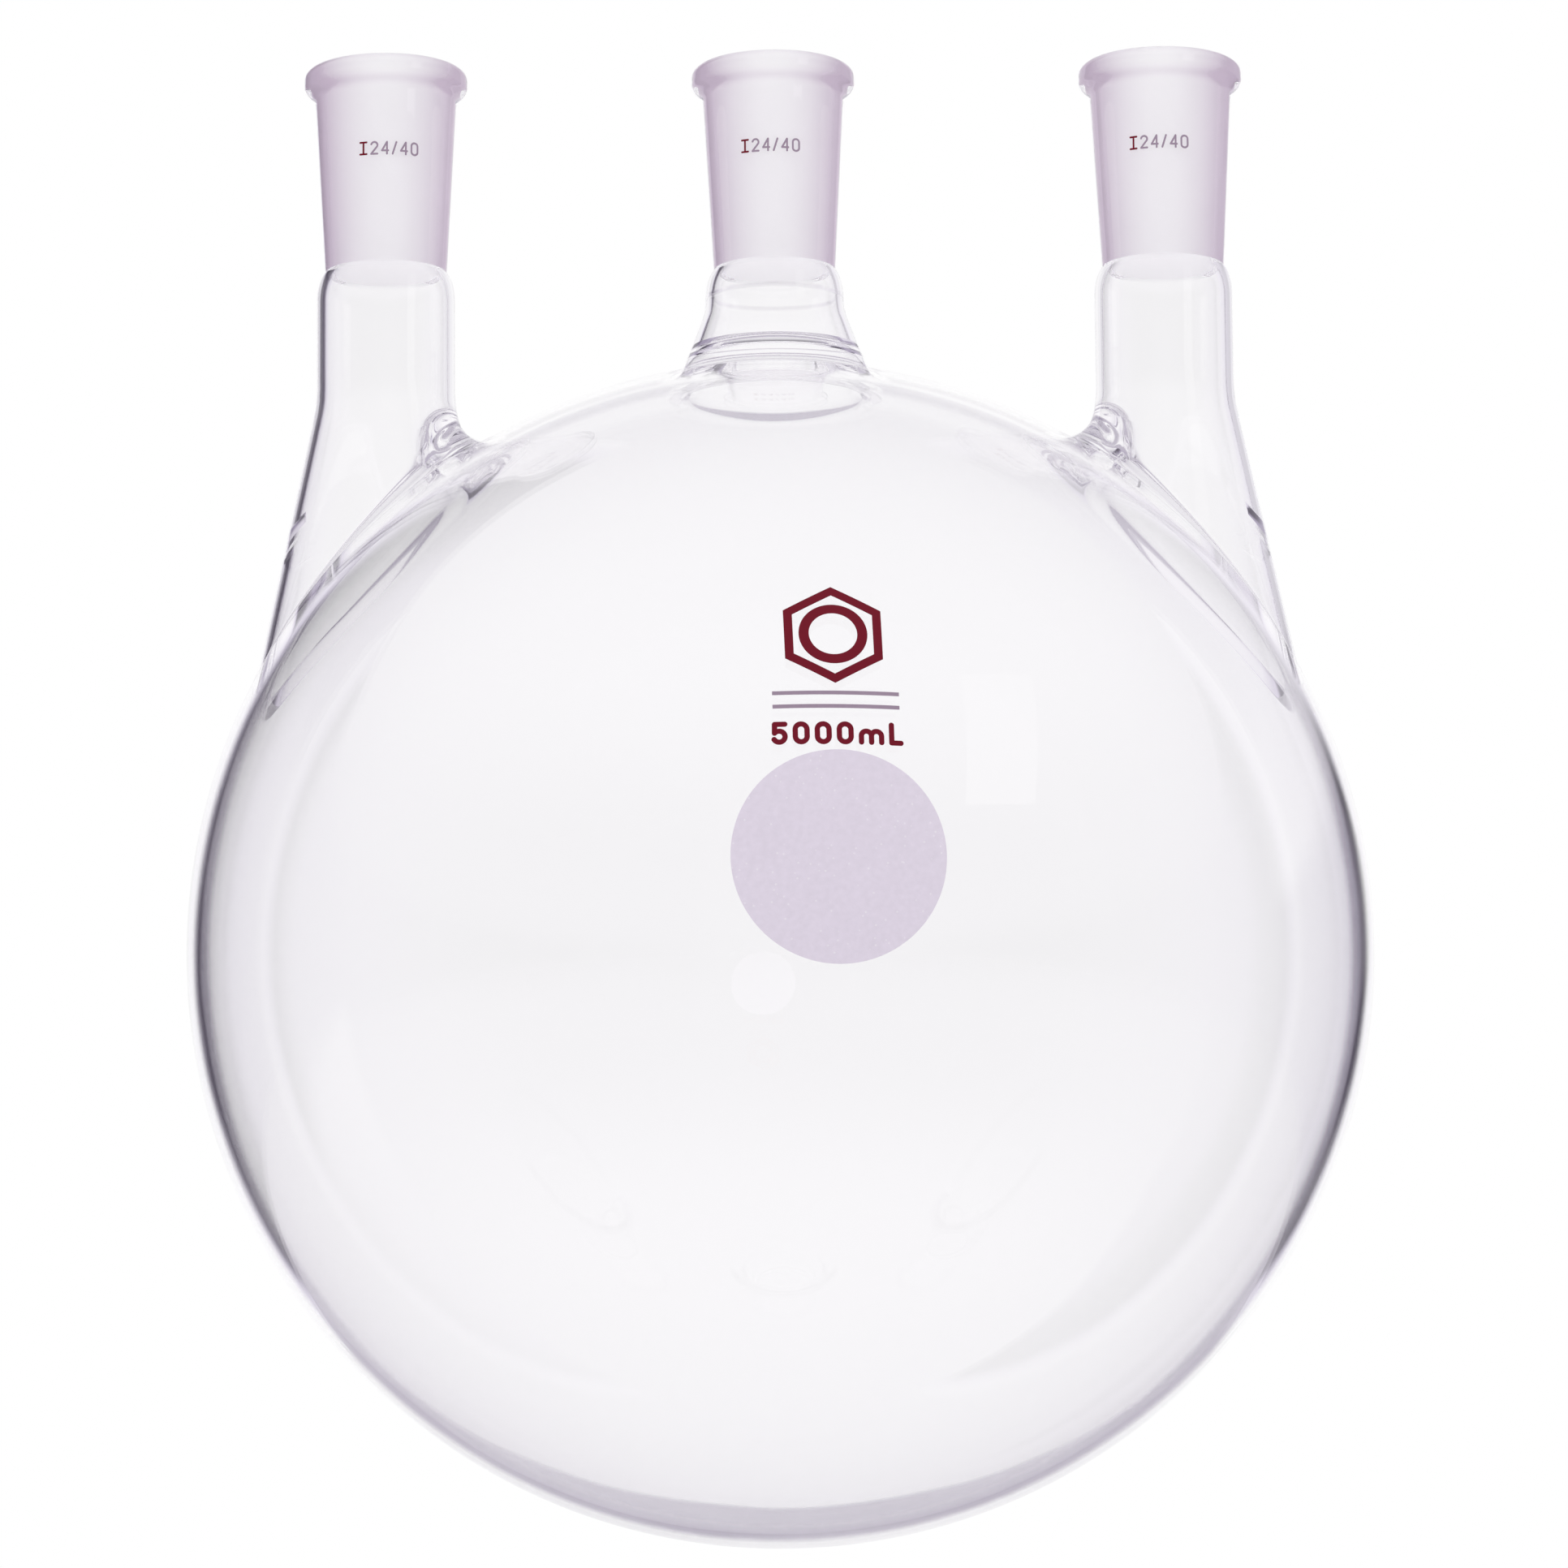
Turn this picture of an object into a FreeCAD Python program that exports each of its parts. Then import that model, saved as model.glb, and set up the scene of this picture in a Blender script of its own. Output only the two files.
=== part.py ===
import FreeCAD, Part
import math
import os

# Three-neck round-bottom flask in borosilicate glass, 5000 mL, with three parallel 24/40 ground sockets.
#
# Frame: millimetres, +Z up along the centre neck. The origin is the lowest point of the bulb.
# The three necks stand in a row along X, and the printed marks face -Y.
#
# The flask is blown and sealed glass. Each solid below ends where a glass-blower joins one piece to
# the next: the bulb with its drawn-out collars, three neck tubes, three ground sockets, and the
# fired enamel marks that lie on the outer surface.

# ---- driving dimensions ----

BULB_OD = 223.0
BULB_WALL = 2.6
TOTAL_HEIGHT = 283.5
NECK_PITCH = 74.2

# Standard-taper socket: the ground bore narrows by 1 mm in every 10 mm of depth. The rim leaves the
# body with a hollow root, turns out round its heel to an upright land, and over a shoulder to its top face.
GROUND_TOP_BORE = 24.0
GROUND_LENGTH = 40.0
GROUND_TAPER = 0.1
SOCKET_TOP_OD = 27.0
SOCKET_BOTTOM_OD = 23.3
RIM_OD = 31.3
RIM_HEIGHT = 6.8
RIM_LAND_HEIGHT = 1.0
RIM_LAND_DROP = 2.2
RIM_TOP_FACE_OD = 25.6
RIM_SHOULDER_REACH = 1.2
RIM_SHOULDER_RISE = 1.2
RIM_HEEL_DEPTH = 2.0
RIM_ROOT_RISE = 1.8
MOUTH_BEVEL = 0.3

TUBE_OD = 26.4
TUBE_WALL = 1.4
SHOULDER_LENGTH = 6.0
SHOULDER_ROUNDNESS = 0.75

# A neck widens below its flare height, with an eased bend, and its foot ends inside the bulb wall.
# The centre neck's wall thickens towards the bulb: its outside widens faster than its bore.
FLARE_EASE = 2.5
SIDE_FLARE_HEIGHT = 218.0
SIDE_FLARE_SLOPE = 0.21
SIDE_FOOT_HEIGHT = 155.0
CENTRE_FLARE_HEIGHT = 235.8
CENTRE_FLARE_SLOPE = 0.38
CENTRE_BORE_SLOPE = 0.33
CENTRE_FOOT_HEIGHT = 212.0
OUTER_SEAL_FILLET = 6.5
INNER_SEAL_FILLET = 2.5

# The seal between the bulb's collars and the neck tubes runs parallel to the bulb surface.
SEAL_HEIGHT = 9.0

# Enamel marks
ENAMEL = 0.12
PRINT_TURN = 5.4
SPOT_DIAMETER = 38.0
SPOT_LATITUDE = 0.2
CAPACITY_LATITUDE = 11.6
CAPACITY_LETTER_HEIGHT = 4.3
CAPACITY_LETTER_WIDTH = 0.7
CAPACITY_STROKE = 0.22
RULE_LATITUDE = 14.9
RULE_LENGTH = 22.4
RULE_WEIGHT = 0.7
RULE_SPACING = 2.6
EMBLEM_LATITUDE = 21.7
EMBLEM_ACROSS_CORNERS = 20.0
EMBLEM_STROKE = 1.8
EMBLEM_CIRCLE_RADIUS = 5.2
SIZE_MARK_DROP = 18.5
SIZE_LETTER_HEIGHT = 2.6
SIZE_LETTER_WIDTH = 0.58
SIZE_STROKE = 0.13
SIZE_MARK_TURNS = {"left": 5.5, "centre": -2.7, "right": -4.5}
LETTER_GAP = 0.2
TILE_DEPTH = 8.0

# ---- values that follow ----

BULB_R = BULB_OD / 2
CAVITY_R = BULB_R - BULB_WALL
BULB_CENTRE = FreeCAD.Vector(0, 0, BULB_R)
TUBE_R = TUBE_OD / 2
TUBE_BORE_R = TUBE_R - TUBE_WALL
SOCKET_BASE = TOTAL_HEIGHT - GROUND_LENGTH
BODY_TOP = TOTAL_HEIGHT - RIM_HEIGHT
GROUND_TOP_R = GROUND_TOP_BORE / 2
GROUND_BOTTOM_R = GROUND_TOP_R - GROUND_TAPER * GROUND_LENGTH / 2
SHOULDER_BASE = SOCKET_BASE - SHOULDER_LENGTH
NECK_X = {"left": -NECK_PITCH, "centre": 0.0, "right": NECK_PITCH}


# ---- profiles and solids of revolution ----

def at(radius, height):
    """A profile point at a distance from the axis and a height above the origin."""
    return FreeCAD.Vector(radius, 0, height)


def line(start, end):
    return Part.makeLine(at(*start), at(*end))


def curve(*poles):
    """A Bezier edge that leaves its first pole and reaches its last one along the poles between."""
    bezier = Part.BezierCurve()
    bezier.setPoles([at(*pole) for pole in poles])
    return bezier.toShape()


def revolve(edges, x):
    """Turn a closed profile about a vertical axis that stands at x."""
    face = Part.Face(Part.Wire(Part.__sortEdges__(edges)))
    solid = face.revolve(FreeCAD.Vector(0, 0, 0), FreeCAD.Vector(0, 0, 1), 360)
    solid.translate(FreeCAD.Vector(x, 0, 0))
    return solid


# ---- blown body: bulb, collars and neck tubes ----

def neck_form(neck, tube_r, top_r, centre_slope):
    """A solid neck: sloping foot, straight tube and the round shoulder that draws in to the socket."""
    flare_height, slope, foot_height = SIDE_FLARE_HEIGHT, SIDE_FLARE_SLOPE, SIDE_FOOT_HEIGHT
    if neck == "centre":
        flare_height, slope, foot_height = CENTRE_FLARE_HEIGHT, centre_slope, CENTRE_FOOT_HEIGHT
    foot_r = tube_r + slope * (flare_height - foot_height)
    bend_start = (tube_r + slope * FLARE_EASE, flare_height - FLARE_EASE)
    bend_end = (tube_r, flare_height + FLARE_EASE)
    round_top = SHOULDER_BASE + SHOULDER_ROUNDNESS * SHOULDER_LENGTH
    return revolve([
        line((0, foot_height), (foot_r, foot_height)),
        line((foot_r, foot_height), bend_start),
        curve(bend_start, (tube_r, flare_height), bend_end),
        line(bend_end, (tube_r, SHOULDER_BASE)),
        curve((tube_r, SHOULDER_BASE), (tube_r, round_top), (top_r, SOCKET_BASE)),
        line((top_r, SOCKET_BASE), (0, SOCKET_BASE)),
        line((0, SOCKET_BASE), (0, foot_height)),
    ], NECK_X[neck])


def is_seal_edge(solid, edge):
    """True for an edge where a neck's foot meets the bulb's sphere."""
    surfaces = {type(face.Surface).__name__ for face in solid.ancestorsOfType(edge, Part.Face)}
    return surfaces == {"Cone", "Sphere"}


def blown_form(bulb_r, tube_r, top_r, centre_slope, fillet):
    """The bulb and its three necks as one solid form, rounded where each neck leaves the bulb."""
    form = Part.makeSphere(bulb_r, BULB_CENTRE)
    necks = [neck_form(neck, tube_r, top_r, centre_slope) for neck in NECK_X]
    form = form.multiFuse(necks).removeSplitter()
    return form.makeFillet(fillet, [edge for edge in form.Edges if is_seal_edge(form, edge)])


def blown_parts():
    """The blown glass wall, parted at the seals into the bulb and the three neck tubes."""
    outside = blown_form(BULB_R, TUBE_R, SOCKET_BOTTOM_OD / 2, CENTRE_FLARE_SLOPE, OUTER_SEAL_FILLET)
    inside = blown_form(CAVITY_R, TUBE_BORE_R, GROUND_BOTTOM_R, CENTRE_BORE_SLOPE, INNER_SEAL_FILLET)
    wall = outside.cut(inside)
    seal = Part.makeSphere(BULB_R + SEAL_HEIGHT, BULB_CENTRE, FreeCAD.Vector(0, 1, 0))
    tubes = sorted(wall.cut(seal).Solids, key=lambda tube: tube.BoundBox.Center.x)
    parts = {"bulb": wall.common(seal).Solids[0]}
    for neck, tube in zip(NECK_X, tubes):
        parts[neck + "_neck_tube"] = tube
    return parts


# ---- ground sockets ----

def rim_edges():
    """The fire-polished rim, from the ground bore over the top face and round to the socket body."""
    top = TOTAL_HEIGHT
    rim_r = RIM_OD / 2
    land_top = top - RIM_LAND_DROP
    land_bottom = land_top - RIM_LAND_HEIGHT
    top_face_r = RIM_TOP_FACE_OD / 2
    body_r = SOCKET_TOP_OD / 2
    mouth_r = GROUND_TOP_R + MOUTH_BEVEL
    bore_r = GROUND_TOP_R - GROUND_TAPER * MOUTH_BEVEL / 2
    return [
        line((bore_r, top - MOUTH_BEVEL), (mouth_r, top)),
        line((mouth_r, top), (top_face_r, top)),
        curve((top_face_r, top), (rim_r - RIM_SHOULDER_REACH, top),
              (rim_r, land_top + RIM_SHOULDER_RISE), (rim_r, land_top)),
        line((rim_r, land_top), (rim_r, land_bottom)),
        curve((rim_r, land_bottom), (rim_r, land_bottom - RIM_HEEL_DEPTH),
              (body_r, BODY_TOP + RIM_ROOT_RISE), (body_r, BODY_TOP)),
    ]


def socket(neck):
    """A tooled socket with its ground taper bore, standing on the end of a neck tube."""
    bottom_r = SOCKET_BOTTOM_OD / 2
    bore_r = GROUND_TOP_R - GROUND_TAPER * MOUTH_BEVEL / 2
    return revolve(rim_edges() + [
        line((SOCKET_TOP_OD / 2, BODY_TOP), (bottom_r, SOCKET_BASE)),
        line((bottom_r, SOCKET_BASE), (GROUND_BOTTOM_R, SOCKET_BASE)),
        line((GROUND_BOTTOM_R, SOCKET_BASE), (bore_r, TOTAL_HEIGHT - MOUTH_BEVEL)),
    ], NECK_X[neck])


# ---- enamel marks, drawn flat with X to the right and Y up, then laid on the glass ----

def flat(x, y):
    return FreeCAD.Vector(x, y, 0)


def bars(stroke, *points):
    """Straight strokes from point to point, each with round ends."""
    faces = []
    for start, end in zip(points, points[1:]):
        along = (flat(*end) - flat(*start)).normalize() * stroke / 2
        across = FreeCAD.Vector(-along.y, along.x, 0)
        a, b = flat(*start), flat(*end)
        outline = [
            Part.makeLine(a + across, b + across),
            Part.Arc(b + across, b + along, b - across).toShape(),
            Part.makeLine(b - across, a - across),
            Part.Arc(a - across, a - along, a + across).toShape(),
        ]
        faces.append(Part.Face(Part.Wire(outline)))
    return faces


def arc(stroke, centre, radius, start, end):
    """A round stroke that runs anticlockwise from one angle to another, in degrees."""
    circle = Part.Circle(flat(*centre), FreeCAD.Vector(0, 0, 1), radius)
    wire = Part.Wire([circle.toShape(math.radians(start), math.radians(end))])
    return [Part.Face(wire.makeOffset2D(stroke / 2, 0, False, False, False))]


def on_arc(centre, radius, angle):
    turn = math.radians(angle)
    return (centre[0] + radius * math.cos(turn), centre[1] + radius * math.sin(turn))


def letter_strokes(letter, width, stroke):
    """The flat strokes of one letter of height 1, and the letter's own width."""
    inset = stroke / 2
    right = width - inset
    top = 1 - inset
    bowl_r = width / 2 - inset
    low, high = (width / 2, width / 2), (width / 2, 1 - width / 2)
    if letter == "0":
        sides = [(x, low[1], high[1]) for x in (inset, right)]
        strokes = [bar for x, y0, y1 in sides for bar in bars(stroke, (x, y0), (x, y1))]
        return strokes + arc(stroke, low, bowl_r, 180, 360) + arc(stroke, high, bowl_r, 0, 180), width
    if letter == "2":
        knee = on_arc(high, bowl_r, -40)
        return arc(stroke, high, bowl_r, -40, 165) + bars(stroke, knee, (inset, inset), (right, inset)), width
    if letter == "4":
        stem, bar = 0.74 * width, 0.3
        return bars(stroke, (right, bar), (inset, bar), (stem, top), (stem, inset)), width
    if letter == "5":
        bowl_start = on_arc(low, bowl_r, 140)
        flag = bars(stroke, (right, top), (1.6 * inset, top), bowl_start)
        return flag + arc(stroke, low, bowl_r, -150, 140), width
    if letter == "/":
        return bars(stroke, (inset, inset), (0.7 * width - inset, top)), 0.7 * width
    if letter == "L":
        return bars(stroke, (inset, top), (inset, inset), (0.85 * width - inset, inset)), 0.85 * width
    if letter == "m":
        arch_r = (1.5 * width - stroke) / 4
        spring = 0.7 - inset - arch_r
        stems = [inset + 2 * arch_r * i for i in range(3)]
        strokes = [bar for x in stems for bar in bars(stroke, (x, inset), (x, spring))]
        for stem in stems[:2]:
            strokes += arc(stroke, (stem + arch_r, spring), arch_r, 0, 180)
        return strokes, 1.5 * width
    if letter == "I":
        strokes = bars(stroke, (inset, top), (right, top)) + bars(stroke, (inset, inset), (right, inset))
        return strokes + bars(stroke, (width / 2, top), (width / 2, inset)), width
    raise ValueError("no strokes are drawn for the letter " + letter)


def tile(faces, scale):
    """Join flat strokes into one solid of real size that reaches to both sides of the artwork."""
    blocks = [face.scale(scale).extrude(FreeCAD.Vector(0, 0, TILE_DEPTH)) for face in faces]
    block = blocks[0].multiFuse(blocks[1:]).removeSplitter() if len(blocks) > 1 else blocks[0]
    block.translate(FreeCAD.Vector(0, 0, -TILE_DEPTH / 2))
    return block


def lettering(text, height, width, stroke):
    """Solid letters in one row, centred on the origin. Width and stroke are shares of the height."""
    letters = []
    x = 0.0
    for letter in text:
        strokes, letter_width = letter_strokes(letter, width, stroke)
        block = tile(strokes, height)
        block.translate(FreeCAD.Vector(x * height, 0, 0))
        letters.append(block)
        x += letter_width + LETTER_GAP
    for block in letters:
        block.translate(FreeCAD.Vector(-(x - LETTER_GAP) / 2, -0.5, 0) * height)
    return letters


def facing(latitude, turn, radius, centre):
    """The placement of flat artwork on the glass: front is -Y, turned about Z and tipped up."""
    tip = FreeCAD.Rotation(FreeCAD.Vector(1, 0, 0), 90 - latitude)
    swing = FreeCAD.Rotation(FreeCAD.Vector(0, 0, 1), turn)
    rotation = swing.multiply(tip)
    normal = rotation.multVec(FreeCAD.Vector(0, 0, 1))
    return FreeCAD.Placement(centre + normal * radius, rotation)


def lay(blocks, skin, placement):
    """Wrap flat blocks onto the glass: keep what lies inside a thin skin of enamel."""
    laid = []
    for block in blocks:
        placed = block.copy()
        placed.Placement = placement.multiply(placed.Placement)
        laid += placed.common(skin).Solids
    return Part.makeCompound(laid) if len(laid) > 1 else laid[0]


def bulb_skin():
    """The front of a thin layer over the bulb, where the print block lies."""
    layer = Part.makeSphere(BULB_R + ENAMEL, BULB_CENTRE).cut(Part.makeSphere(BULB_R, BULB_CENTRE))
    front = Part.makeBox(BULB_OD, BULB_OD, BULB_OD, FreeCAD.Vector(-BULB_R, -BULB_OD, BULB_R / 2))
    return layer.common(front)


def socket_skin(neck):
    """A thin layer over the tapered body of one socket."""
    bottom_r = SOCKET_BOTTOM_OD / 2
    top_r = SOCKET_TOP_OD / 2
    return revolve([
        line((bottom_r, SOCKET_BASE), (top_r, BODY_TOP)),
        line((top_r, BODY_TOP), (top_r + ENAMEL, BODY_TOP)),
        line((top_r + ENAMEL, BODY_TOP), (bottom_r + ENAMEL, SOCKET_BASE)),
        line((bottom_r + ENAMEL, SOCKET_BASE), (bottom_r, SOCKET_BASE)),
    ], NECK_X[neck])


def hexagon_emblem():
    """A plain ring symbol: a hexagon with a circle inside it."""
    corner_r = (EMBLEM_ACROSS_CORNERS - EMBLEM_STROKE) / 2
    corners = [on_arc((0, 0), corner_r, 30 + 60 * i) for i in range(7)]
    depth = FreeCAD.Vector(0, 0, TILE_DEPTH)
    blocks = []
    for radius_change in (EMBLEM_STROKE / 2, -EMBLEM_STROKE / 2):
        scale = 1 + radius_change / corner_r
        outline = Part.makePolygon([flat(x * scale, y * scale) for x, y in corners])
        blocks.append(Part.Face(outline).extrude(depth))
    ring = blocks[0].cut(blocks[1])
    circle = Part.makeCylinder(EMBLEM_CIRCLE_RADIUS + EMBLEM_STROKE / 2, TILE_DEPTH).cut(
        Part.makeCylinder(EMBLEM_CIRCLE_RADIUS - EMBLEM_STROKE / 2, TILE_DEPTH))
    for block in (ring, circle):
        block.translate(-depth / 2)
    return [ring, circle]


def rule_pair():
    """Two thin parallel rules, one above the other."""
    rules = []
    for side in (-1, 1):
        corner = FreeCAD.Vector(-RULE_LENGTH / 2, side * RULE_SPACING / 2 - RULE_WEIGHT / 2, -TILE_DEPTH / 2)
        rules.append(Part.makeBox(RULE_LENGTH, RULE_WEIGHT, TILE_DEPTH, corner))
    return rules


def bulb_marks():
    spot = Part.makeCylinder(SPOT_DIAMETER / 2, TILE_DEPTH, FreeCAD.Vector(0, 0, -TILE_DEPTH / 2))
    capacity = lettering("5000mL", CAPACITY_LETTER_HEIGHT, CAPACITY_LETTER_WIDTH, CAPACITY_STROKE)
    artwork = {
        "marking_spot": ([spot], SPOT_LATITUDE),
        "capacity_mark": (capacity, CAPACITY_LATITUDE),
        "print_rules": (rule_pair(), RULE_LATITUDE),
        "emblem": (hexagon_emblem(), EMBLEM_LATITUDE),
    }
    skin = bulb_skin()
    marks = {}
    for name, (blocks, latitude) in artwork.items():
        marks[name] = lay(blocks, skin, facing(latitude, PRINT_TURN, BULB_R, BULB_CENTRE))
    return marks


def size_mark(neck):
    """The taper sign and the joint size, printed on the front of a socket below its rim."""
    slope = (SOCKET_TOP_OD - SOCKET_BOTTOM_OD) / 2 / (BODY_TOP - SOCKET_BASE)
    height = TOTAL_HEIGHT - SIZE_MARK_DROP
    radius = SOCKET_BOTTOM_OD / 2 + slope * (height - SOCKET_BASE)
    centre = FreeCAD.Vector(NECK_X[neck], 0, height)
    blocks = lettering("I24/40", SIZE_LETTER_HEIGHT, SIZE_LETTER_WIDTH, SIZE_STROKE)
    return lay(blocks, socket_skin(neck), facing(0, SIZE_MARK_TURNS[neck], radius, centre))


def main():
    parts = blown_parts()
    parts.update(bulb_marks())
    for neck in NECK_X:
        parts[neck + "_ground_socket"] = socket(neck)
        parts[neck + "_size_mark"] = size_mark(neck)
    os.makedirs("parts", exist_ok=True)
    for name, shape in parts.items():
        shape.exportStep("parts/" + name + ".step")


main()
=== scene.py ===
"""Looks of a three-neck round-bottom flask in borosilicate glass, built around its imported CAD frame."""
from collections import namedtuple
import math

import bpy
import mathutils
from mathutils import Matrix, Vector


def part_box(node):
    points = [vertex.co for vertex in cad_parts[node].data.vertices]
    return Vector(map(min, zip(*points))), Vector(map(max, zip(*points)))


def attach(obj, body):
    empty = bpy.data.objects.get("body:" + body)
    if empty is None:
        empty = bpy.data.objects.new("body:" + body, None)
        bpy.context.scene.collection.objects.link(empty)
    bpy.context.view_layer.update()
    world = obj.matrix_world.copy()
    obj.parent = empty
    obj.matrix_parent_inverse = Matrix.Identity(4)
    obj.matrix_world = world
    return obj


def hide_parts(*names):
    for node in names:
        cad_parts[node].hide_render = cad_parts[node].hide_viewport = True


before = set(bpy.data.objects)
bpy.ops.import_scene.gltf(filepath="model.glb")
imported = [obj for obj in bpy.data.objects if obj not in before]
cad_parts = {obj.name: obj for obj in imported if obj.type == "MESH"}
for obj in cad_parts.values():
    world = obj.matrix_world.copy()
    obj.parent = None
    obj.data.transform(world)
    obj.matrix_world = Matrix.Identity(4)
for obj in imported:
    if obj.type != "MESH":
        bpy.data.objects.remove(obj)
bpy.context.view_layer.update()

# ---- sizes, in millimetres unless a name says otherwise ----

MM = 0.001
NECKS = ("left", "centre", "right")

bulb_low, bulb_high = (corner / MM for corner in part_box("bulb"))
socket_low, socket_high = (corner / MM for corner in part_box("centre_ground_socket"))

BULB_R = round((bulb_high.x - bulb_low.x) / 2, 1)
BULB_CENTRE = Vector((0, 0, bulb_low.z + BULB_R))
BULB_WALL = 2.6
CAVITY_R = BULB_R - BULB_WALL
TOP = socket_high.z
SOCKET_BASE = socket_low.z

SEAL_STANDOFF = 9.0
SEAL_R = BULB_R + SEAL_STANDOFF

SHOULDER_LENGTH = 6.0
SHOULDER_ROUNDNESS = 0.75
SIDE_FLARE_HEIGHT = 218.0
SIDE_FLARE_SLOPE = 0.21
CENTRE_FLARE_HEIGHT = 235.8
FLARE_EASE = 2.5

GROUND_TOP_R = 12.0
GROUND_BOTTOM_R = 10.0
SOCKET_BOTTOM_R = 11.65
SOCKET_TOP_R = 13.5
GROUND_TAPER = (GROUND_TOP_R - GROUND_BOTTOM_R) / (TOP - SOCKET_BASE)
RIM_R = round((socket_high.x - socket_low.x) / 2, 2)
RIM_HEIGHT = 6.8
BODY_TOP = TOP - RIM_HEIGHT
RIM_LAND_DROP = 2.2
RIM_LAND_TOP = TOP - RIM_LAND_DROP
RIM_LAND_HEIGHT = 1.0
RIM_LAND_BOTTOM = RIM_LAND_TOP - RIM_LAND_HEIGHT
RIM_TOP_FACE_R = 12.8
RIM_SHOULDER_REACH = 1.2
RIM_SHOULDER_RISE = 1.2
RIM_HEEL_DEPTH = 2.0
RIM_ROOT_RISE = 1.8
MOUTH_BEVEL = 0.3

# How far out a side neck's foot lies round the bulb's centre, and the half angle of the round patch of
# the bulb that each collar covers.
SIDE_FOOT_LEAN = math.radians(44.4)
SIDE_PATCH_ANGLE = math.radians(18.5)
CENTRE_PATCH_ANGLE = math.radians(15.0)

# One face of the glass: the sphere, the tube and the socket end it runs through, the slope of the
# centre neck's foot, the fillet where a neck leaves the bulb, and whether it faces the cavity.
Wall = namedtuple("Wall", "sphere_r tube_r top_r centre_slope fillet faces_in")
OUTSIDE = Wall(sphere_r=BULB_R, tube_r=13.2, top_r=SOCKET_BOTTOM_R,
               centre_slope=0.38, fillet=6.5, faces_in=False)
INSIDE = Wall(sphere_r=CAVITY_R, tube_r=11.8, top_r=GROUND_BOTTOM_R,
              centre_slope=0.33, fillet=2.5, faces_in=True)

# Fused glass that stands into a bore: a thick lip in each side neck, on the side towards the centre,
# and a low bead all round the centre neck's foot.
Weld = namedtuple("Weld", "depth height half_height")
SIDE_LIP = Weld(depth=5.4, height=208.0, half_height=8.5)
SIDE_LIP_NARROWNESS = 3
CENTRE_BEAD = Weld(depth=1.1, height=226.6, half_height=1.3)

# ---- how finely the meshes are divided ----

COLUMNS = 144
RING_COLUMNS = 2 * COLUMNS
PATCH_STEPS = 10
FILLET_STEPS = 12
COLLAR_STEPS = 16
FLARE_STEPS = 10
STRAIGHT_STEPS = 8
SHOULDER_STEPS = 14
BODY_STEPS = 24
RIM_ROOT_STEPS = 20
RIM_LAND_STEPS = 4
RIM_OVER_STEPS = 14
RIM_FACE_STEPS = 2
BORE_STEPS = 40


def neck_axis_x(neck):
    low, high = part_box(neck + "_ground_socket")
    return round((low.x + high.x) / 2 / MM, 2)


class Neck:
    """Where one neck stands on the bulb and how its foot flares."""

    def __init__(self, name):
        centre = name == "centre"
        self.name = name
        self.x = neck_axis_x(name)
        self.centre = centre
        self.flare_height = CENTRE_FLARE_HEIGHT if centre else SIDE_FLARE_HEIGHT
        foot_lean = 0.0 if centre else SIDE_FOOT_LEAN * math.copysign(1, self.x)
        self.direction = Vector((math.sin(foot_lean), 0, math.cos(foot_lean)))
        self.patch_angle = CENTRE_PATCH_ANGLE if centre else SIDE_PATCH_ANGLE

    def radius(self, wall, height):
        """The neck's radius at a height: straight above, a sloping cone below, eased between."""
        slope = wall.centre_slope if self.centre else SIDE_FLARE_SLOPE
        drop = self.flare_height - height
        if drop <= -FLARE_EASE:
            return wall.tube_r
        if drop >= FLARE_EASE:
            return wall.tube_r + slope * drop
        return wall.tube_r + slope * (drop + FLARE_EASE) ** 2 / (4 * FLARE_EASE)

    def lump(self, wall, height, across):
        """How far the neck's fused glass stands into the bore."""
        weld = CENTRE_BEAD if self.centre else SIDE_LIP
        inward = 1.0 if self.centre else -across.x * math.copysign(1, self.x)
        swell = 1 - ((height - weld.height) / weld.half_height) ** 2
        if not wall.faces_in or inward <= 0 or swell <= 0:
            return 0.0
        return weld.depth * inward ** SIDE_LIP_NARROWNESS * swell ** 2

    def reach(self, wall, height, across):
        """How far the wall stands from the neck's axis at a height and a direction."""
        return self.radius(wall, height) - self.lump(wall, height, across)

    def point(self, wall, height, across):
        """A point on the neck, where across is the outward unit direction in the level plane."""
        reach = self.reach(wall, height, across)
        return Vector((self.x + reach * across.x, reach * across.y, height))

    def downward(self, wall, height, across):
        """The unit direction that runs down the neck's wall at a height."""
        step = 0.01
        upper, lower = (self.point(wall, height + side * step, across) for side in (1, -1))
        return (lower - upper).normalized()


# ---- mesh drafts ----

CLEAR, GROUND, SEAM = 0, 1, 2


class Draft:
    """Vertices in millimetres, faces, and a material number for each face. The normal of a round point
    is set to point away from the bulb's centre (1) or towards it (-1)."""

    def __init__(self):
        self.points = []
        self.faces = []
        self.finishes = []
        self.round_points = {}

    def ring(self, points):
        """Add points and return their numbers."""
        first = len(self.points)
        self.points.extend(points)
        return list(range(first, len(self.points)))

    def face(self, corners, finish, flip):
        self.faces.append(tuple(reversed(corners)) if flip else tuple(corners))
        self.finishes.append(finish)

    def band(self, lower, upper, finish, flip=False):
        """Four-sided faces between two rings of the same number of points."""
        count = len(lower)
        for i in range(count):
            j = (i + 1) % count
            self.face((lower[i], lower[j], upper[j], upper[i]), finish, flip)

    def stack(self, rings, finish, flip=False):
        for lower, upper in zip(rings, rings[1:]):
            self.band(lower, upper, finish, flip)


def bezier(poles, steps):
    """Points along a curve of any degree, both ends included."""
    points = []
    for i in range(steps + 1):
        row = [Vector(pole) for pole in poles]
        while len(row) > 1:
            row = [a.lerp(b, i / steps) for a, b in zip(row, row[1:])]
        points.append(row[0])
    return points


def spread(start, end, steps):
    """Points along a straight line, both ends included."""
    start, end = Vector(start), Vector(end)
    return [start.lerp(end, i / steps) for i in range(steps + 1)]


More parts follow.
